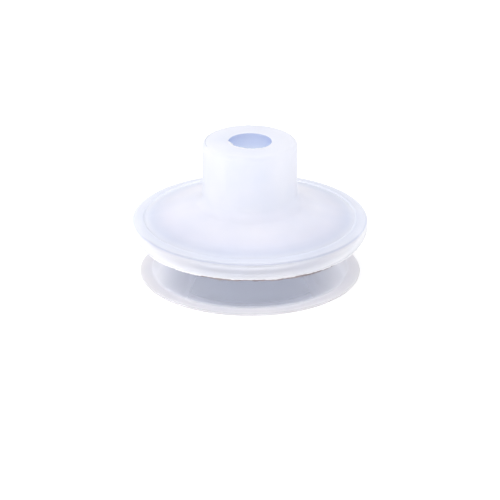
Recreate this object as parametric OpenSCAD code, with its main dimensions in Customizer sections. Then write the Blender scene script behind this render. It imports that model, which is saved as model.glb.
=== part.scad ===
// Bellows suction cup with one and a half folds, moulded in one piece from soft silicone.
// The moulding is one wall turned about Z. It is split into zones that keep their shape
// (lip, waist, rim, shoulder, neck) and zones that flex between them (skirt, two webs).
// Z = 0 is the plane that the sealing lip rests on, and Z is the axis of the cup.

/* [Neck] */
// Height from the sealing face to the top of the neck
cup_h = 19; // [17:0.5:24]
// Outer diameter of the neck
neck_d = 12.8; // [11:0.2:14]
// Round on the neck's top outer edge
neck_round = 0.75; // [0.2:0.05:1.2]
// Fillet where the neck runs into the upper web
root_fillet = 1.6; // [0.8:0.1:2.4]
// Diameter of the bore that is pressed over a nipple
bore_d = 5.7; // [4:0.1:7]
// Round on the bore's top edge
bore_edge = 0.2; // [0.1:0.05:0.5]
// Round where the bore opens into the cavity
bore_flare = 1.9; // [0.8:0.1:2.4]

/* [Fold] */
// Outer diameter of the fold's rim, the widest part of the cup
fold_d = 32; // [31:0.5:36]
// Height of the rim's top corner
rim_top_z = 7.83; // [7.4:0.05:8.6]
// Height of the rim's outer face between its top and bottom corners
rim_h = 2.38; // [2.1:0.02:2.6]
// Width of the raised bead that runs round on top of the rim
bead_w = 1.5; // [1:0.1:2]
// Rise of the bead from the rim's edge to its inner side
bead_rise = 0.22; // [0:0.02:0.4]
// Width of the crease on the inner side of the bead
crease_w = 0.25; // [0.2:0.05:0.5]
// Depth of the crease
crease_drop = 0.12; // [0.05:0.01:0.2]
// Round on the rim's top corner
rim_top_round = 0.5; // [0.2:0.05:0.8]
// Round on the rim's bottom corner
rim_low_round = 2; // [1:0.1:2.1]
// Solid width of the rim, from the cavity to the outer face
rim_wall = 1.35; // [1.1:0.05:1.6]
// Round at the cavity's outer end, inside the rim
cavity_round = 0.35; // [0.1:0.05:0.35]

/* [Webs] */
// Height of the corner where the upper web would meet the neck without its fillet
root_z = 10.28; // [9.6:0.05:11.5]
// Thickness of the upper web at the crease
web_t = 1; // [0.8:0.05:1.1]
// Thickness of the shoulder under the neck's wall
shoulder_t = 1.2; // [1:0.05:1.6]
// Thickness of the lower web
lower_web_t = 0.9; // [0.7:0.05:1]

/* [Skirt] */
// Diameter of the waist, at the sharp corner of the groove between fold and skirt
waist_d = 22.2; // [21:0.2:23]
// Height of the waist's corner
waist_z = 4.2; // [3.9:0.05:4.4]
// Round at the bottom of the groove
waist_round = 0.8; // [0.4:0.1:1]
// Round on the waist's inner nose, in the cavity
nose_round = 1; // [0.4:0.1:1.4]
// Wall thickness of the skirt
skirt_t = 0.9; // [0.7:0.05:1.1]

/* [Sealing lip] */
// Outer diameter of the sealing lip
lip_d = 30; // [29:0.5:31]
// Thickness of the lip at its edge
lip_edge_t = 0.3; // [0.2:0.02:0.4]
// Width of the thin flange outside the skirt's foot
flange_w = 1.67; // [1.2:0.05:2]
// Height of the flange's top face at the skirt's foot
flange_h = 0.4; // [0.35:0.05:0.7]
// Width of the flat band that seals on the workpiece
seal_w = 1.3; // [1:0.05:1.6]
// Angle at which the lip's underside leaves the workpiece
seal_angle = 24; // [18:1:32]
// Fillet at the skirt's foot
foot_round = 0.4; // [0.2:0.05:0.5]
// Round inside the lip, where its underside meets the skirt
inner_round = 0.8; // [0.3:0.1:0.8]

/* [Zones] */
// Height at which the lip ends and the skirt begins to flex
lip_zone_z = 0.95; // [0.95:0.05:1.3]
// Height at which the skirt ends and the waist begins
waist_zone_z = 3.2; // [2.8:0.05:3.2]
// Width of the waist ring outside the waist's corner
waist_zone_w = 1.2; // [1.2:0.1:1.6]
// Width of web that belongs to the rim, inside the crease
rim_zone_w = 0.15; // [0.15:0.05:0.4]
// Length of straight bore that belongs to the shoulder
shoulder_bore_h = 0.3; // [0.1:0.1:1]

/* [Hidden] */
$fn = 128;
// Straight steps in each round of the profile
ROUND_STEPS = 9;

THICK_SILICONE = "aliceblue";
THIN_SILICONE = "lavender";

lip_r = lip_d / 2;
waist_r = waist_d / 2;
fold_r = fold_d / 2;
neck_r = neck_d / 2;
bore_r = bore_d / 2;
cavity_r = fold_r - rim_wall;

// The line through two points, moved to its left by w
function aside(p, q, w) =
    let (n = [p.y - q.y, q.x - p.x] / norm(q - p)) [p + n * w, q + n * w];
// Where two lines meet, each given by two points
function meet(a, b) =
    let (d = a[1] - a[0], e = b[1] - b[0], s = b[0] - a[0])
    a[0] + d * (s.x * e.y - s.y * e.x) / (d.x * e.y - d.y * e.x);
// The upright line at radius r
function upright(r) = [[r, 0], [r, 1]];

// The unit vector from p to q
function toward(p, q) = (q - p) / norm(q - p);
// Half of the angle at the corner b
function half_angle(a, b, c) = acos(toward(b, a) * toward(b, c)) / 2;
// Length that a round of radius r takes from each side of the corner b
function round_reach(a, b, c, r) = r / tan(half_angle(a, b, c));
// The points of a round of radius r on the corner b
function round_points(a, b, c, r) =
    let (reach = round_reach(a, b, c, r),
         centre = b + toward([0, 0], toward(b, a) + toward(b, c)) * r / sin(half_angle(a, b, c)),
         first = b + toward(b, a) * reach - centre,
         last = b + toward(b, c) * reach - centre,
         from = atan2(first.y, first.x),
         turn = (atan2(last.y, last.x) - from + 540) % 360 - 180)
    [for (i = [0 : ROUND_STEPS])
        let (angle = from + turn * i / ROUND_STEPS) centre + r * [cos(angle), sin(angle)]];

// Corners of the outer side, from the workpiece up
seal_in = [lip_r - seal_w, 0];
lip_edge = [lip_r, 0];
lip_top = [lip_r, lip_edge_t];
foot = [lip_r - flange_w, flange_h];
waist = [waist_r, waist_z];
rim_low = [fold_r, rim_top_z - rim_h];
rim_top = [fold_r, rim_top_z];
bead_in = rim_top + [-bead_w, bead_rise];
crease = bead_in - [crease_w, crease_drop];
root = [neck_r, root_z];
neck_top = [neck_r, cup_h];

// Corners of the inner side, from the bore down
bore_top = [bore_r, cup_h];
roof = [crease - [0, web_t], root - [0, shoulder_t]];
bore_low = meet(roof, upright(bore_r));
roof_end = meet(roof, upright(cavity_r));
floor_line = aside(waist, rim_low, lower_web_t);
floor_end = meet(floor_line, upright(cavity_r));
skirt_inside = aside(foot, waist, skirt_t);
nose = meet(skirt_inside, floor_line);
underside = [seal_in, seal_in + [-cos(seal_angle), sin(seal_angle)]];
lip_inside = meet(skirt_inside, underside);

// Every corner of the wall's outline, with its round
TIP_ROUND = lip_edge_t * 0.45;
SOFT_EDGE = 0.1;
OUTLINE = [
    [seal_in, 0], [lip_edge, TIP_ROUND], [lip_top, TIP_ROUND], [foot, foot_round],
    [waist, waist_round], [rim_low, rim_low_round], [rim_top, rim_top_round],
    [bead_in, SOFT_EDGE], [crease, SOFT_EDGE], [root, root_fillet], [neck_top, neck_round],
    [bore_top, bore_edge], [bore_low, bore_flare], [roof_end, cavity_round],
    [floor_end, cavity_round], [nose, nose_round], [lip_inside, inner_round],
];

// Where the neck's straight bore ends and its flare begins
bore_end_z = bore_low.y + round_reach(bore_top, bore_low, roof_end, bore_flare);
neck_zone_z = bore_end_z + shoulder_bore_h;
// The shoulder reaches out to the end of the neck's fillet
shoulder_r = neck_r + root_fillet;
rim_zone_r = crease.x - rim_zone_w;
waist_zone_r = waist_r + waist_zone_w;
// Height between the two webs, inside the fold
mid_z = (roof_end.y + floor_end.y) / 2;

// Half of the whole moulding's cross-section
module wall() {
    count = len(OUTLINE);
    polygon([
        for (i = [0 : count - 1])
            let (before = OUTLINE[(i + count - 1) % count][0],
                 corner = OUTLINE[i][0],
                 after = OUTLINE[(i + 1) % count][0],
                 r = OUTLINE[i][1])
            each (r == 0 ? [corner] : round_points(before, corner, after, r))
    ]);
}

// The ring of the moulding that lies between two radii and two heights
module zone(r0, r1, z0, z1) {
    rotate_extrude() intersection() {
        wall();
        translate([r0, z0]) square([r1 - r0, z1 - z0]);
    }
}

module sealing_lip() {
    color(THIN_SILICONE) zone(0, fold_r, 0, lip_zone_z);
}

module lip_skirt() {
    color(THIN_SILICONE) zone(0, fold_r, lip_zone_z, waist_zone_z);
}

module waist_ring() {
    color(THIN_SILICONE) zone(0, waist_zone_r, waist_zone_z, mid_z);
}

module lower_web() {
    color(THIN_SILICONE) zone(waist_zone_r, rim_zone_r, waist_zone_z, mid_z);
}

module fold_rim() {
    color(THICK_SILICONE) zone(rim_zone_r, fold_r + 1, waist_zone_z, cup_h);
}

module upper_web() {
    color(THIN_SILICONE) zone(shoulder_r, rim_zone_r, mid_z, cup_h);
}

module shoulder() {
    color(THICK_SILICONE) zone(0, shoulder_r, mid_z, neck_zone_z);
}

module neck_sleeve() {
    color(THICK_SILICONE) zone(0, shoulder_r, neck_zone_z, cup_h + 1);
}

sealing_lip();
lip_skirt();
waist_ring();
lower_web();
fold_rim();
upper_web();
shoulder();
neck_sleeve();
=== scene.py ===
"""Looks of the bellows suction cup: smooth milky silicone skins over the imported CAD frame."""
import math

import bmesh
import bpy
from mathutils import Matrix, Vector
from mathutils.bvhtree import BVHTree


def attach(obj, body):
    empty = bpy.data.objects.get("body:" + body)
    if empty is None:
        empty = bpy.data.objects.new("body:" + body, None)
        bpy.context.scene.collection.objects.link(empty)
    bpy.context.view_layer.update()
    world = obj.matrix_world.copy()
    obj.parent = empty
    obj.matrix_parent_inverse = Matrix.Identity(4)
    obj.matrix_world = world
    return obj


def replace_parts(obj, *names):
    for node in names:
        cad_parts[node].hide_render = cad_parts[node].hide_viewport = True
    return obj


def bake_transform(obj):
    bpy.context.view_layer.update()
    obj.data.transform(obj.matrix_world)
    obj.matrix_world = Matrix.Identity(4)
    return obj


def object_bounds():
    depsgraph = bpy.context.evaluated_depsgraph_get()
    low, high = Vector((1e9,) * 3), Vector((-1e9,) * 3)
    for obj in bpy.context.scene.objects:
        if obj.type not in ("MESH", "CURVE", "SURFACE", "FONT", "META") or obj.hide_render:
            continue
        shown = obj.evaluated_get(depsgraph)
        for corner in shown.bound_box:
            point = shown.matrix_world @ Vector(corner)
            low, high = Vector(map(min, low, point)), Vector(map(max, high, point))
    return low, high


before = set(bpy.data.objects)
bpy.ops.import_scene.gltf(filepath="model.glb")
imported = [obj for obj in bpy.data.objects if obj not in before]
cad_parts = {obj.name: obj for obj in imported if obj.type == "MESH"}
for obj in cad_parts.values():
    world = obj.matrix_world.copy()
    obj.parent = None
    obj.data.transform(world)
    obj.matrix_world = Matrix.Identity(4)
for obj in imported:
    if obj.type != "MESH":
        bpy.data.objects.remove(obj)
cad_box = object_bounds()
MM = 0.001  # everything is in metres, and a length in mm is written with this
CUP_H = cad_box[1].z

# ---------------------------------------------------------------- image points
# The photograph's frame, and the points in it that set the camera and check the result
WIDTH, HEIGHT = 500, 500
POINTS = {
    "neck_top_back": (250, 126),
    "neck_left": (202.4, 147),
    "neck_right": (297.6, 147),
    "bore_left": (228, 140),
    "bore_right": (271.8, 140),
    "bore_flash": (243.7, 146.4),
    "neck_flash_dark_edge": (221.6, 126.5),
    "rim_left": (132.5, 221),
    "rim_right": (367.8, 221),
    "crease_left": (145.5, 218),
    "rim_seam": (250, 279.7),
    "lip_left": (141.8, 272),
    "lip_right": (359.3, 272),
    "lip_front": (250, 315),
    "lip_foot": (250, 308.5),
}

# ---------------------------------------------------------------- camera
ELEVATION = 23.66  # degrees above the horizon
DISTANCE = 402 * MM  # from AIM
AIM = Vector((0, 0, 3.0 * MM))
SENSOR = 36.0  # mm
LENS = 212.0  # mm


def make_camera():
    """The camera at the photograph's viewing angle, aimed at the cup's axis."""
    data = bpy.data.cameras.new("camera")
    data.sensor_fit = "AUTO"
    data.sensor_width = SENSOR
    data.lens = LENS
    data.clip_start, data.clip_end = 0.01, 10
    made = bpy.data.objects.new("camera", data)
    bpy.context.scene.collection.objects.link(made)
    e = math.radians(ELEVATION)
    back = Vector((0, -math.cos(e), math.sin(e)))
    made.location = AIM + back * DISTANCE
    made.rotation_mode = "QUATERNION"
    made.rotation_quaternion = (-back).to_track_quat("-Z", "Y")
    bpy.context.scene.camera = made
    return made


camera = make_camera()
LONG = max(WIDTH, HEIGHT)
REACH = LONG * LENS / SENSOR  # pixels from the camera to the photograph's frame


def ray_through(x, y):
    """The direction from the camera through a point of the photograph's frame."""
    data = camera.data
    across = Vector((
        x - WIDTH / 2 + data.shift_x * LONG,
        HEIGHT / 2 - y + data.shift_y * LONG,
        -REACH,
    ))
    return (camera.rotation_quaternion @ across).normalized()


def shown_at(place):
    """Where a place shows in the photograph's frame."""
    p = camera.rotation_quaternion.inverted() @ (place - camera.location)
    data = camera.data
    x = WIDTH / 2 - data.shift_x * LONG - REACH * p.x / p.z
    y = HEIGHT / 2 + data.shift_y * LONG + REACH * p.y / p.z
    return x, y


# ---------------------------------------------------------------- cross-sections
AROUND = 192  # steps of a skin round the axis
STEP = 0.25  # mm, the longest step of a skin along the wall
SAME = 0.004  # mm, corners nearer than this are one ring of a CAD mesh
# The cosine and sine of each of those steps
TURNS = [
    (math.cos(2 * math.pi * k / AROUND), math.sin(2 * math.pi * k / AROUND)) for k in range(AROUND)
]


def section(node):
    """The corners of a node's cross-section in order, as (radius, height) in mm.

    The wall is on the left of the way they run.
    """
    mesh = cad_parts[node].data
    rings, ring_of = [], []
    for v in mesh.vertices:
        p = (math.hypot(v.co.x, v.co.y) / MM, v.co.z / MM)
        i = next((i for i, q in enumerate(rings) if math.dist(p, q) < SAME), len(rings))
        if i == len(rings):
            rings.append(p)
        ring_of.append(i)
    near = {i: set() for i in range(len(rings))}
    for edge in mesh.edges:
        a, b = (ring_of[i] for i in edge.vertices)
        if a != b:
            near[a].add(b)
            near[b].add(a)
    path, step = [0], min(near[0])
    while step != 0:
        path.append(step)
        step = min(near[step] - {path[-2]})
    corners = [rings[i] for i in path]
    area = sum(a[0] * b[1] - b[0] * a[1] for a, b in zip(corners, corners[1:] + corners[:1]))
    return corners if area > 0 else corners[::-1]


sections = {node: section(node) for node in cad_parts}


def shared(node, a, b):
    """True if another node's section has the same edge, which is then a cut through the wall."""
    for other, corners in sections.items():
        if other == node:
            continue
        for p, q in zip(corners, corners[1:] + corners[:1]):
            if math.dist(a, q) < SAME and math.dist(b, p) < SAME:
                return True
    return False


def surfaces(node):
    """The stretches of a node's cross-section between its cuts, in steps of at most STEP."""
    corners = sections[node]
    edges = list(zip(corners, corners[1:] + corners[:1]))
    cuts = [shared(node, a, b) for a, b in edges]
    first = cuts.index(True) + 1
    stretches, stretch = [], []
    for k in range(first, first + len(edges)):
        a, b = edges[k % len(edges)]
        if cuts[k % len(edges)]:
            stretches += [stretch] if stretch else []
            stretch = []
            continue
        stretch = stretch or [a]
        count = math.ceil(math.dist(a, b) / STEP)
        stretch += [
            (a[0] + (b[0] - a[0]) * i / count, a[1] + (b[1] - a[1]) * i / count)
            for i in range(1, count + 1)
        ]
    return stretches


# ---------------------------------------------------------------- skins
AT_REST = "at_rest"  # the attribute that keeps a skin's coordinates at rest
# The share of a piece's height, from its lower end, over which it was to stay with its lower body,
# so that the upper web's underside keeps clear of the waist when the fold closes. bending() works
# out that height and then does nothing with it.
HELD = {"upper_web_b0": 0.3}


def piece_of(name, bm, material):
    """The piece that a finished bmesh makes, with its material."""
    mesh = bpy.data.meshes.new(name)
    bm.to_mesh(mesh)
    bm.free()
    mesh.materials.append(material)
    piece = bpy.data.objects.new(name, mesh)
    bpy.context.scene.collection.objects.link(piece)
    return piece


def turned(name, stretches, material):
    """A piece made by turning stretches of the cross-section about Z, facing out of the wall."""
    bm = bmesh.new()
    for stretch in stretches:
        rings = [
            [bm.verts.new((r * c * MM, r * s * MM, z * MM)) for c, s in TURNS] for r, z in stretch
        ]
        for low, high in zip(rings, rings[1:]):
            for j in range(AROUND):
                k = (j + 1) % AROUND
                bm.faces.new((low[j], low[k], high[k], high[j])).smooth = True
    piece = piece_of(name, bm, material)
    # the material goes by each point's place at rest, so its bands stay put where the wall bends
    at_rest = piece.data.attributes.new(AT_REST, "FLOAT_VECTOR", "POINT")
    at_rest.data.foreach_set("vector", [c for v in piece.data.vertices for c in v.co])
    return piece


def bending(name, stretch, material):
    """A turned piece of a wall that flexes, with its place baked into its mesh. It is attached to
    no body.
    """
    piece = turned(name, [stretch], material)
    z0, z1 = sorted((stretch[0][1], stretch[-1][1]))
    z0 += (z1 - z0) * HELD.get(name, 0)
    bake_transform(piece)
    return piece


# ---------------------------------------------------------------- silicone
SILICONE_IOR = 1.41
CLEAR_IOR = 1.15  # of what is seen through the wall: more would draw hard lines in the skirt
RELIEF = 0.03 * MM  # depth of the finest unevenness

# The tables go by height in mm.
# The tint of the light that the wall scatters, with a band of painted shade on the rim's top
MILK_AND_SHADE = [
    (0.0, (0.97, 0.95, 0.95)),
    (0.33, (0.97, 0.95, 0.95)),
    (0.38, (0.89, 0.87, 0.91)),
    (0.41, (0.90, 0.88, 0.92)),
    (0.46, (0.84, 0.84, 0.88)),
    (4.9, (0.86, 0.86, 0.92)),
    (5.4, (0.88, 0.88, 0.93)),
    (6.2, (0.93, 0.93, 0.965)),
    (7.6, (0.95, 0.945, 0.965)),
    (7.70, (0.92, 0.92, 0.96)),
    # painted shade: a darker bluish band on the rim's top, darkest at its corner
    (7.76, (0.72, 0.755, 0.90)),
    (7.84, (0.72, 0.755, 0.90)),
    (7.87, (0.85, 0.87, 0.945)),
    (8.2, (0.76, 0.795, 0.92)),
    (8.8, (0.88, 0.88, 0.965)),
    (9.4, (0.93, 0.925, 0.98)),
    (10.3, (0.90, 0.90, 0.95)),
    (11.5, (0.89, 0.895, 0.92)),
]
# The tint of what is seen through the wall, with painted shade in the skirt, the waist and on the
# rim's top
GLASS_AND_SHADE = [
    (0.0, (0.97, 0.96, 0.95)),
    (0.40, (0.95, 0.95, 0.97)),
    # painted shade: the dark, shaded inside of the skirt and waist seen through them
    (0.46, (0.40, 0.42, 0.48)),
    (4.9, (0.32, 0.335, 0.39)),
    (5.5, (0.50, 0.52, 0.58)),
    (6.4, (0.72, 0.74, 0.80)),
    (7.7, (0.92, 0.93, 0.97)),
    # painted shade: a darker bluish band on the rim's top
    (7.9, (0.86, 0.90, 0.97)),
    (8.2, (0.84, 0.88, 0.97)),
    (8.5, (0.97, 0.97, 1.0)),
]
# How much is seen through the wall
CLEAR = [
    (0.0, 1.0),
    (0.40, 1.0),
    (0.46, 0.95),
    (4.9, 0.95),
    (5.4, 0.78),
    (7.6, 0.6),
    (7.85, 0.8),
    (8.2, 0.75),
    (8.6, 0.5),
    (9.2, 0.4),
    (11.5, 0.12),
]
# How much of the scattered light comes from behind the wall
THROUGH = [
    (0.0, 0.15),
    (1.2, 0.25),
    (4.0, 0.25),
    (5.4, 0.1),
    (8.0, 0.1),
    (8.4, 0.25),
    (9.5, 0.25),
    (11.0, 0.5),
]
# Inside the bore: painted bluish shade, darkest just below its top and lighter further down
BORE_SHADE = [(16.4, (0.78, 0.84, 0.93)), (17.4, (0.56, 0.64, 0.82)), (18.7, (0.42, 0.49, 0.70))]
BORE_R = 2.93 * MM  # the wall that is nearer the axis is inside the bore
CORE = (0.92, 0.92, 0.97)  # the tint of light that has gone a long way inside the wall
CORE_SHARE = 0.9  # how much of the light that meets the wall from inside goes on through it
# The wall's faint patches: their scale, the factor and offset that sharpen the noise, and the
# tints that they run between
PATCHES = 150.0
PATCH_RANGE = (3.0, -1.0)
PATCH_TINTS = ((0.94, 0.955, 0.99), (1.0, 0.995, 1.0))
# The roughness wanders by this much, at this scale
UNEVEN = 0.05
CLOUDS = 190.0
# The scales of the turning marks and of the fine grain, and how strong the marks are beside it
MARKS, GRAIN = 3200.0, 5200.0
MARKS_SHARE = 0.6
# How what shows through the wall fades as the wall turns to a slant: a power, and a factor
SLANT_POWER, SLANT_FACTOR = 1.5, -2.0


def link(tree, source, target):
    """Joins an output socket to an input socket."""
    tree.links.new(source, target)


def ramp(tree, stops, source):
    """A colour ramp over height in mm. A stop's value is a colour or a plain number."""
    n = tree.nodes.new("ShaderNodeValToRGB")
    band = n.color_ramp
    while len(band.elements) < len(stops):
        band.elements.new(1.0)
    for element, (height, value) in zip(band.elements, stops):
        element.position = height * MM / CUP_H
        element.color = (*value, 1) if isinstance(value, tuple) else (value, value, value, 1)
    link(tree, source, n.inputs["Fac"])
    return n.outputs["Color"]


def maths(tree, what, a, b=None, c=None):
    """A Math node's value, from sockets or plain numbers."""
    n = tree.nodes.new("ShaderNodeMath")
    n.operation = what
    for i, value in enumerate((a, b, c)):
        if value is None:
            continue
        if isinstance(value, (int, float)):
            n.inputs[i].default_value = value
        else:
            link(tree, value, n.inputs[i])
    return n.outputs[0]


def noise(tree, vector, scale, detail):
    """Noise at a place, with scale features to the metre."""
    n = tree.nodes.new("ShaderNodeTexNoise")
    n.inputs["Scale"].default_value = scale
    n.inputs["Detail"].default_value = detail
    link(tree, vector, n.inputs["Vector"])
    return n.outputs["Fac"]


def mixed_colour(tree, share, a, b):
    """A colour between a, at share 0, and b, at share 1."""
    n = tree.nodes.new("ShaderNodeMix")
    n.data_type = "RGBA"
    link(tree, share, n.inputs[0])
    for socket, value in ((n.inputs[6], a), (n.inputs[7], b)):
        if isinstance(value, tuple):
            socket.default_value = (*value, 1)
        else:
            link(tree, value, socket)
    return n.outputs[2]


def shaded(tree, colour, tint):
    """A colour times a tint."""
    n = tree.nodes.new("ShaderNodeMix")
    n.data_type = "RGBA"
    n.blend_type = "MULTIPLY"
    n.inputs[0].default_value = 1.0
    link(tree, colour, n.inputs[6])
    link(tree, tint, n.inputs[7])
    return n.outputs[2]


def principled(tree, colour, roughness, bump, sheen):
    """Silicone's surface, with its gloss and its sheen."""
    n = tree.nodes.new("ShaderNodeBsdfPrincipled")
    n.inputs["IOR"].default_value = SILICONE_IOR
    n.inputs["Sheen Weight"].default_value = sheen
    n.inputs["Sheen Roughness"].default_value = 0.35
    link(tree, colour, n.inputs["Base Color"])
    link(tree, roughness, n.inputs["Roughness"])
    link(tree, bump.outputs[0], n.inputs["Normal"])
    return n


def mixed_shader(tree, share, a, b):
    """The shader node a, at share 0, mixed with b, at share 1."""
    n = tree.nodes.new("ShaderNodeMixShader")
    link(tree, share, n.inputs[0])
    link(tree, a.outputs[0], n.inputs[1])
    link(tree, b.outputs[0], n.inputs[2])
    return n


def bumped(tree, height, strength):
    """A Bump node for a relief."""
    bump = tree.nodes.new("ShaderNodeBump")
    bump.inputs["Strength"].default_value = strength
    bump.inputs["Distance"].default_value = RELIEF
    link(tree, height, bump.inputs["Height"])
    return bump


def silicone(name, roughness, sheen):
    """Milky silicone: scattering, letting light through and clear by turns, by height at rest.

    Its skin has faint patches, turning marks and a fine grain. Some of its tints by height are
    painted shade: the dark skirt and waist, a darker bluish band on the rim's top, and the bluer,
    darker bore.
    """
    material = bpy.data.materials.new(name)
    material.use_nodes = True
    tree = material.node_tree
    tree.nodes.clear()
    out = tree.nodes.new("ShaderNodeOutputMaterial")
    attribute = tree.nodes.new("ShaderNodeAttribute")
    attribute.attribute_name = AT_REST
    where = attribute.outputs["Vector"]
    split = tree.nodes.new("ShaderNodeSeparateXYZ")
    link(tree, where, split.inputs[0])
    x, y, z = split.outputs
    radius = maths(tree, "SQRT", maths(tree, "MULTIPLY_ADD", x, x, maths(tree, "MULTIPLY", y, y)))
    height = maths(tree, "DIVIDE", z, CUP_H)
    cloud = noise(tree, where, CLOUDS, detail=3.0)
    inside = maths(tree, "LESS_THAN", radius, BORE_R)
    milk_and_shade = mixed_colour(tree, inside, ramp(tree, MILK_AND_SHADE, height), ramp(tree, BORE_SHADE, height))
    blotches = noise(tree, where, PATCHES, detail=2.5)
    patches = maths(tree, "MULTIPLY_ADD", blotches, *PATCH_RANGE)
    patches.node.use_clamp = True
    milk_and_shade = shaded(tree, milk_and_shade, mixed_colour(tree, patches, *PATCH_TINTS))
    uneven = maths(tree, "MULTIPLY_ADD", cloud, UNEVEN, roughness)

    ring = tree.nodes.new("ShaderNodeCombineXYZ")
    link(tree, radius, ring.inputs[0])
    link(tree, z, ring.inputs[1])
    marks = noise(tree, ring.outputs[0], MARKS, detail=2.0)
    grain = noise(tree, where, GRAIN, detail=3.0)
    relief = maths(tree, "MULTIPLY_ADD", marks, MARKS_SHARE, grain)
    bump = bumped(tree, relief, strength=0.25)

    skin = principled(tree, milk_and_shade, uneven, bump, sheen)
    glass = principled(tree, ramp(tree, GLASS_AND_SHADE, height), uneven, bump, sheen)
    glass.inputs["Transmission Weight"].default_value = 1.0
    glass.inputs["IOR"].default_value = CLEAR_IOR
    glow = tree.nodes.new("ShaderNodeBsdfTranslucent")
    within = tree.nodes.new("ShaderNodeNewGeometry").outputs["Backfacing"]
    link(tree, mixed_colour(tree, within, milk_and_shade, CORE), glow.inputs["Color"])
    through = maths(
        tree, "MAXIMUM", ramp(tree, THROUGH, height), maths(tree, "MULTIPLY", within, CORE_SHARE)
    )
    hazy = mixed_shader(tree, through, skin, glow)
    # a wall seen at a slant is crossed at a greater length, so less shows through it
    facing = tree.nodes.new("ShaderNodeLayerWeight").outputs["Facing"]
    turned_away = maths(tree, "POWER", facing, SLANT_POWER)
    slant = maths(tree, "MULTIPLY_ADD", turned_away, SLANT_FACTOR, 1.0)
    slant.node.use_clamp = True
    clear = maths(tree, "MULTIPLY", ramp(tree, CLEAR, height), slant)
    both = mixed_shader(tree, clear, hazy, glass)
    link(tree, both.outputs[0], out.inputs["Surface"])
    return material


thick = silicone("silicone_thick", roughness=0.22, sheen=0.2)
thin = silicone("silicone_thin", roughness=0.22, sheen=0.5)

# ---------------------------------------------------------------- the cup
# For each node that keeps its shape: its skin, the body that it rides on, its material and slot
RIGID = {
    "sealing_lip": ("lip_skin", "lip", thin, "silicone_thin"),
    "waist_ring": ("waist_skin", "waist", thin, "silicone_thin"),
    "fold_rim": ("rim_skin", "fold", thick, "silicone_thick"),
    "shoulder": ("shoulder_skin", "neck", thick, "silicone_thick"),
    "neck_sleeve": ("neck_skin", "neck", thick, "silicone_thick"),
}
# For each node that flexes: the bodies that its wall bends between, from its lower end up
BENT = {
    "lip_skirt": ("lip", "waist"),
    "lower_web": ("waist", "web", "fold"),
    "upper_web": ("fold", "neck"),
}
skins = {}
for node, (name, body, material, slot) in RIGID.items():
    skins[name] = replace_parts(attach(turned(name, surfaces(node), material), body), node)
for node, bodies in BENT.items():
    parts = len(bodies) - 1
    for side, stretch in zip("ab", surfaces(node)):
        rising = stretch[0][1] < stretch[-1][1]
        for k in range(parts):
            # a stretch that runs down is cut from its far end, so that part 0 is the lowest
            at = k if rising else parts - 1 - k
            count = len(stretch) - 1
            piece = stretch[count * at // parts : count * (at + 1) // parts + 1]
            name = f"{node}_{side}{k}"
            skins[name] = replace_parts(
                bending(name, piece, thin), node
            )

# ---------------------------------------------------------------- flash and trimmed edges
ROUND = 720  # steps of a ragged edge round the axis
FULL_TURN = (0, 2 * math.pi)
# The waves that a ragged edge is made of: how many go round, and their size
WAVES = ((3, 0.9), (7, 0.7), (16, 0.6), (37, 0.5), (83, 0.45), (151, 0.3))
# The cross-section of a ridge: a length in mm and a share of its reach, both along the way that
# it stands out, and a share of its height across that
FIN = (
    (-0.04, 0, 0.5),
    (0, 0.6, 0.4),
    (0, 1, 0.12),
    (0, 1, -0.12),
    (0, 0.6, -0.4),
    (-0.04, 0, -0.5),
)
FADE = 0.7  # a ridge's ends fade out by a sine to this power
FADED = 0.03  # and that sine is never less, so that no face comes to nothing
# Where a ray misses, the place nearest to it is looked for from points along it: how many of them
# to each side of the cup's middle, and how far apart in mm
SEARCH_STEPS, SEARCH_STEP = 300, 0.1


def place(point, carrier, above=0.0):
    """Where an image point lies on a skin: where its ray meets it, or the place nearest the ray.

    Faces of the skin that reach below the height above, in mm, are left out.
    """
    bm = bmesh.new()
    bm.from_mesh(skins[carrier].data)
    low = [f for f in bm.faces if min(v.co.z for v in f.verts) < above * MM]
    bmesh.ops.delete(bm, geom=low, context="FACES")
    tree = BVHTree.FromBMesh(bm)
    bm.free()
    start, way = camera.location, ray_through(*POINTS[point])
    hit = tree.ray_cast(start, way)[0]
    if hit is not None:
        return hit
    best = None
    for k in range(-SEARCH_STEPS, SEARCH_STEPS + 1):
        near = tree.find_nearest(start + way * (DISTANCE + SEARCH_STEP * k * MM))
        if best is None or near[3] < best[3]:
            best = near
    return best[0]


def ragged(angle, seed):
    """A number from 0 to 1 that wanders round the axis and meets itself after a full turn.

    The seed shifts each wave by its own amount, and the sum is pressed softly into its range.
    """
    total = sum(size * math.sin(n * angle + seed * (n + 1.7)) for n, size in WAVES)
    return 0.5 + 0.5 * math.tanh(0.8 * total)


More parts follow.
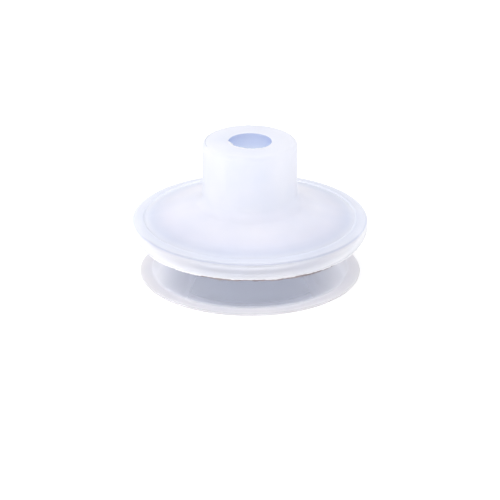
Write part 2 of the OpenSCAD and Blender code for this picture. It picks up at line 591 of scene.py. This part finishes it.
def fin(name, at, out, height, reach, seed, material, span=FULL_TURN, lead=1.0):
    """A thin ragged ridge round the axis, through the place at, standing out of the wall along out.

    out is a direction in (radius, height). height is in mm, and reach is the least and the most
    that the ridge stands out, in mm. span is the angles between which it runs. A ridge that ends
    fades out there, and below 1 lead moves its widest place toward its first end.
    """
    r0, z0 = math.hypot(at.x, at.y) / MM, at.z / MM
    whole = span == FULL_TURN
    count = round(ROUND * (span[1] - span[0]) / (2 * math.pi))
    side = (-out[1], out[0])
    bm = bmesh.new()
    rings = []
    for k in range(count if whole else count + 1):
        angle = span[0] + (span[1] - span[0]) * k / count
        ends = 1 if whole else max(FADED, math.sin(math.pi * (k / count) ** lead)) ** FADE
        far = (reach[0] + (reach[1] - reach[0]) * ragged(angle, seed)) * ends
        ring = []
        for root, share, across in FIN:
            r = r0 + out[0] * (root + share * far) + side[0] * across * height
            z = z0 + out[1] * (root + share * far) + side[1] * across * height
            ring.append(bm.verts.new((r * math.cos(angle) * MM, r * math.sin(angle) * MM, z * MM)))
        rings.append(ring)
    for one, two in zip(rings, rings[1:] + rings[:1] if whole else rings[1:]):
        for j in range(len(FIN)):
            k = (j + 1) % len(FIN)
            bm.faces.new((one[j], one[k], two[k], two[j])).smooth = True
    if not whole:
        bm.faces.new(rings[0])
        bm.faces.new(rings[-1][::-1])
    bmesh.ops.recalc_face_normals(bm, faces=bm.faces)
    return piece_of(name, bm, material)


# The scale of the flash's patches, the factor and offset that sharpen the noise, those that turn
# it into roughness, and the scale of the flash's grain
FLASH_PATCHES = 260.0
FLASH_RANGE = (2.4, -0.7)
FLASH_ROUGHNESS = (0.1, 0.32)
FLASH_GRAIN = 6000.0


def flash(name, colours):
    """Thin silicone flash: cloudy, and uneven in colour round the cup. Given dark colours, it also
    makes painted shade lines.
    """
    material = bpy.data.materials.new(name)
    material.use_nodes = True
    tree = material.node_tree
    skin = tree.nodes["Principled BSDF"]
    skin.inputs["IOR"].default_value = SILICONE_IOR
    where = tree.nodes.new("ShaderNodeTexCoord").outputs["Object"]
    patches = noise(tree, where, FLASH_PATCHES, detail=4.0)
    wide = maths(tree, "MULTIPLY_ADD", patches, *FLASH_RANGE)
    wide.node.use_clamp = True
    link(tree, mixed_colour(tree, wide, *colours), skin.inputs["Base Color"])
    link(tree, maths(tree, "MULTIPLY_ADD", patches, *FLASH_ROUGHNESS), skin.inputs["Roughness"])
    bump = bumped(tree, noise(tree, where, FLASH_GRAIN, detail=3.0), strength=0.4)
    link(tree, bump.outputs[0], skin.inputs["Normal"])
    return material


# The warm colours are painted shadow, for the dark line under the rim's front edge
warm = flash("flash_painted_shadow", ((0.14, 0.10, 0.10), (0.46, 0.41, 0.43)))
white = flash("flash_white", ((0.90, 0.89, 0.93), (0.97, 0.96, 0.98)))
pale = flash("flash_pale", ((0.58, 0.53, 0.54), (0.85, 0.83, 0.84)))
milky = flash("flash_milky", ((0.84, 0.85, 0.89), (0.90, 0.90, 0.93)))
# The bluish colours are painted shade, for the dark outline along the neck's top edge
bluish = flash("flash_painted_dark_edge", ((0.42, 0.46, 0.52), (0.80, 0.82, 0.88)))

# The ways in which the ridges stand out of the wall, as (radius, height)
DOWN = (0.588, -0.809)
OUT_DOWN = (0.87, -0.5)
OUT = (1.0, 0.0)
IN = (-1.0, 0.0)
OUT_UP = (0.6, 0.8)
FRONT = math.radians(-90)  # the angle round the axis that faces the camera
NECK_TOP = 18.995  # mm, above which the neck has only its flat top face
fins = {}

# The torn flash on the rim's lower edge across the front, coloured dark brown as a painted shadow
# line, and the pale edge just above and outside it
seam = place("rim_seam", "rim_skin")
fins["rim_flash_shadow"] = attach(
    fin(
        "rim_flash_shadow", seam, DOWN, height=0.16, reach=(0.12, 0.36), seed=1.0,
        material=warm, span=(FRONT - 0.95, FRONT + 1.05),
    ),
    "fold",
)
above = seam + Vector((0, -0.08, 0.09)) * MM
fins["rim_edge"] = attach(
    fin(
        "rim_edge", above, OUT_DOWN, height=0.14, reach=(0.08, 0.24), seed=2.0,
        material=white, span=(FRONT - 1.9, FRONT + 1.9),
    ),
    "fold",
)

# The trimmed edge of the lip, all the way round
edge = place("lip_front", "lip_skin")
fins["lip_trim"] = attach(
    fin(
        "lip_trim", edge, OUT, height=0.08, reach=(0.0, 0.04), seed=3.0,
        material=pale,
    ),
    "lip",
)

# The flap of flash in the bore's mouth, just below the top face
bit = place("bore_flash", "neck_skin", NECK_TOP)
turn = math.atan2(bit.y, bit.x)
under = bit + Vector((0, 0, -0.07)) * MM
fins["bore_flash"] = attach(
    fin(
        "bore_flash", under, IN, height=0.12, reach=(0.38, 0.68), seed=4.0,
        material=milky, span=(turn - 1.27, turn + 1.27), lead=0.5,
    ),
    "neck",
)

# The flash on the neck's top edge, coloured dark bluish as painted shade: a dark outline along that
# edge
rise = place("neck_flash_dark_edge", "neck_skin")
turn = math.atan2(rise.y, rise.x)
fins["neck_flash_dark_edge"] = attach(
    fin(
        "neck_flash_dark_edge", rise, OUT_UP, height=0.07, reach=(0.01, 0.06), seed=5.0,
        material=bluish, span=(turn - 1.2, turn + 1.2),
    ),
    "neck",
)

# ---------------------------------------------------------------- floor, world and lights
AMBIENT = 0.84  # the world's light on the cup, where 1 is the white that the camera sees
BEHIND = 0.06  # how much brighter the light is from behind the cup, and darker from its front
GLOSS_SHARE = 0.4  # how much of the backdrop's extra light shows in reflections
FLOOR_HALF = 1.5  # metres from the middle of the floor to its sides
FLOOR_DROP = 0.02 * MM  # the floor lies this far under the lip
FLOOR_COLOUR = (0.9, 0.9, 0.9, 1)
FLOOR_LIFT = 0.32  # brings the floor that the camera sees up to white
FLOOR_LIFT_THROUGH = 0.18  # and the floor that is seen through the silicone further
LIT = Vector((0, 0, 8 * MM))  # what the lamps are aimed at
scene = bpy.context.scene
scene.view_settings.view_transform = "Standard"


def seen_directly(tree):
    """1 for rays from the camera and through silicone, less off gloss, 0 for scattered light."""
    path = tree.nodes.new("ShaderNodeLightPath").outputs
    gloss = maths(tree, "MULTIPLY", path["Is Glossy Ray"], GLOSS_SHARE)
    both = maths(tree, "MAXIMUM", path["Is Camera Ray"], gloss)
    return maths(tree, "MAXIMUM", both, path["Is Transmission Ray"])


def make_world():
    """A white backdrop for the camera, and a plain even light for the cup."""
    world = bpy.data.worlds.new("studio")
    scene.world = world
    world.use_nodes = True
    tree = world.node_tree
    background = tree.nodes["Background"]
    background.inputs["Color"].default_value = (1, 1, 1, 1)
    way = tree.nodes.new("ShaderNodeSeparateXYZ")
    link(tree, tree.nodes.new("ShaderNodeTexCoord").outputs["Generated"], way.inputs[0])
    ambient = maths(tree, "MULTIPLY_ADD", way.outputs["Y"], BEHIND, AMBIENT)
    seen = seen_directly(tree)
    rest = maths(tree, "MULTIPLY", ambient, maths(tree, "SUBTRACT", 1.0, seen))
    link(tree, maths(tree, "ADD", seen, rest), background.inputs["Strength"])


def make_floor():
    """A pale floor that shows as white and keeps the cup's shadow."""
    bm = bmesh.new()
    bmesh.ops.create_grid(bm, x_segments=8, y_segments=8, size=FLOOR_HALF)
    mesh = bpy.data.meshes.new("floor")
    bm.to_mesh(mesh)
    bm.free()
    floor = bpy.data.objects.new("floor", mesh)
    floor.location.z = -FLOOR_DROP
    scene.collection.objects.link(floor)
    material = bpy.data.materials.new("floor")
    material.use_nodes = True
    tree = material.node_tree
    tree.nodes.clear()
    out = tree.nodes.new("ShaderNodeOutputMaterial")
    matt = tree.nodes.new("ShaderNodeBsdfDiffuse")
    matt.inputs["Color"].default_value = FLOOR_COLOUR
    lift = tree.nodes.new("ShaderNodeEmission")
    path = tree.nodes.new("ShaderNodeLightPath").outputs
    more = maths(tree, "MULTIPLY", path["Is Transmission Ray"], FLOOR_LIFT_THROUGH)
    lifted = maths(tree, "MULTIPLY_ADD", seen_directly(tree), FLOOR_LIFT, more)
    link(tree, lifted, lift.inputs["Strength"])
    add = tree.nodes.new("ShaderNodeAddShader")
    link(tree, matt.outputs[0], add.inputs[0])
    link(tree, lift.outputs[0], add.inputs[1])
    link(tree, add.outputs[0], out.inputs["Surface"])
    mesh.materials.append(material)


def softbox(name, at, size, power):
    """A square lamp, at a place and with a side in metres, and its power in watts."""
    data = bpy.data.lights.new(name, "AREA")
    data.shape = "SQUARE"
    data.size = size
    data.energy = power
    lamp = bpy.data.objects.new(name, data)
    lamp.location = at
    lamp.rotation_mode = "QUATERNION"
    lamp.rotation_quaternion = (LIT - lamp.location).to_track_quat("-Z", "Y")
    scene.collection.objects.link(lamp)


make_world()
make_floor()
softbox("key", (-0.30, 0.30, 0.40), size=0.9, power=0.3)
softbox("left", (-0.42, -0.30, 0.20), size=0.7, power=1.2)
softbox("right", (0.5, 0.0, 0.22), size=0.8, power=0.78)
softbox("front", (-0.3, -0.52, 0.08), size=0.7, power=1.4)

# ---------------------------------------------------------------- how far each point is off
# What each point is on, as lowest and highest radius and height in mm, and the way to its edge
THINGS = {
    "neck_top_back": ((5.0, 6.5, 18.0, 19.1), (0, -1)),
    "neck_left": ((6.3, 6.5, 12.0, 18.5), (-1, 0)),
    "neck_right": ((6.3, 6.5, 12.0, 18.5), (1, 0)),
    "bore_left": ((2.8, 3.1, 18.7, 19.1), (-1, 0)),
    "bore_right": ((2.8, 3.1, 18.7, 19.1), (1, 0)),
    "rim_left": ((15.0, 16.1, 5.0, 8.2), (-1, 0)),
    "rim_right": ((15.0, 16.1, 5.0, 8.2), (1, 0)),
    "crease_left": ((14.2, 14.3, 7.8, 8.1), (-1, 0)),
    "rim_seam": ((15.0, 16.1, 5.0, 8.2), (0, 1)),
    "lip_left": ((14.0, 15.1, 0.0, 0.5), (-1, 0)),
    "lip_right": ((14.0, 15.1, 0.0, 0.5), (1, 0)),
    "lip_front": ((14.0, 15.1, 0.0, 0.5), (0, 1)),
    "lip_foot": ((13.2, 13.6, 0.35, 0.6), (0, 1)),
}
# The points that are the middle of what shows of a placed piece
MIDDLES = ("bore_flash", "neck_flash_dark_edge")
OFF_SKIN = 0.05  # mm from a surface at which a ray back to the camera starts


def in_view(tree, p):
    """True if nothing of the tree lies between a point on it and the camera."""
    back = (camera.location - p).normalized()
    return tree.ray_cast(p + back * OFF_SKIN * MM, back)[0] is None


def write_points():
    """Works out how far in x and y each thing shows from its point, by the vertices that show;
    nothing is written or kept.
    """
    bm = bmesh.new()
    for piece in skins.values():
        bm.from_mesh(piece.data)
    tree = BVHTree.FromBMesh(bm)
    places = [v.co.copy() for v in bm.verts]
    bm.free()
    for name, ((r0, r1, z0, z1), way) in THINGS.items():
        best = None
        for p in places:
            r, z = math.hypot(p.x, p.y) / MM, p.z / MM
            if not (r0 <= r <= r1 and z0 <= z <= z1):
                continue
            x, y = shown_at(p)
            reach = x * way[0] + y * way[1]
            if best is not None and reach <= best[0]:
                continue
            if in_view(tree, p):
                best = (reach, x, y)
    for name in MIDDLES:
        shown = {}
        for i, v in enumerate(fins[name].data.vertices):
            if in_view(tree, v.co):
                shown.setdefault(i // len(FIN), []).append(shown_at(v.co))


write_points()
